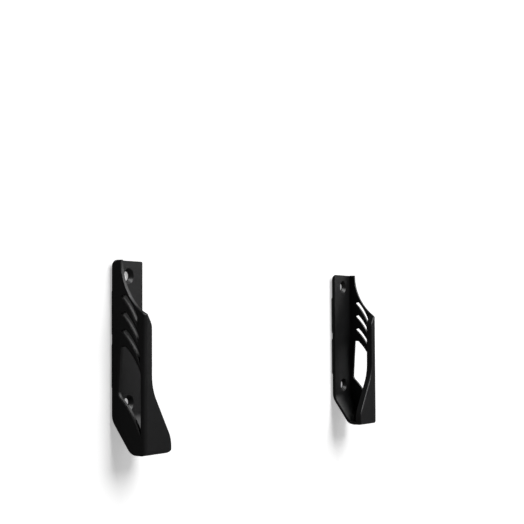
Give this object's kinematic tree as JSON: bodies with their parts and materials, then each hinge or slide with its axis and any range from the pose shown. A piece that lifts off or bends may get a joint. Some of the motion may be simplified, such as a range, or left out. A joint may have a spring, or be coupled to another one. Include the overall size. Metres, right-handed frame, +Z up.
{
  "type": "tablet wall mount",
  "caption": "Left and right moulded black corner brackets that hold a tablet flat on a wall, each with a back plate, side wall, floor with sloped heel and hooked front lip.",
  "frame": {"origin": "middle of the four screw holes, in the plane of the brackets' back faces", "axes": "+X to the right seen from the room, +Y into the wall, +Z up"},
  "size_m": [0.2458, 0.0202, 0.091],
  "materials": {
    "moulded_black": "satin moulded, near black",
    "foam_adhesive": "grey closed-cell foam, matt"
  },
  "bodies": {
    "root": {"left_bracket": "moulded_black", "right_bracket": "moulded_black", "left_upper_strip": "foam_adhesive", "left_lower_strip": "foam_adhesive", "right_upper_strip": "foam_adhesive", "right_lower_strip": "foam_adhesive"}
  },
  "joints": []
}
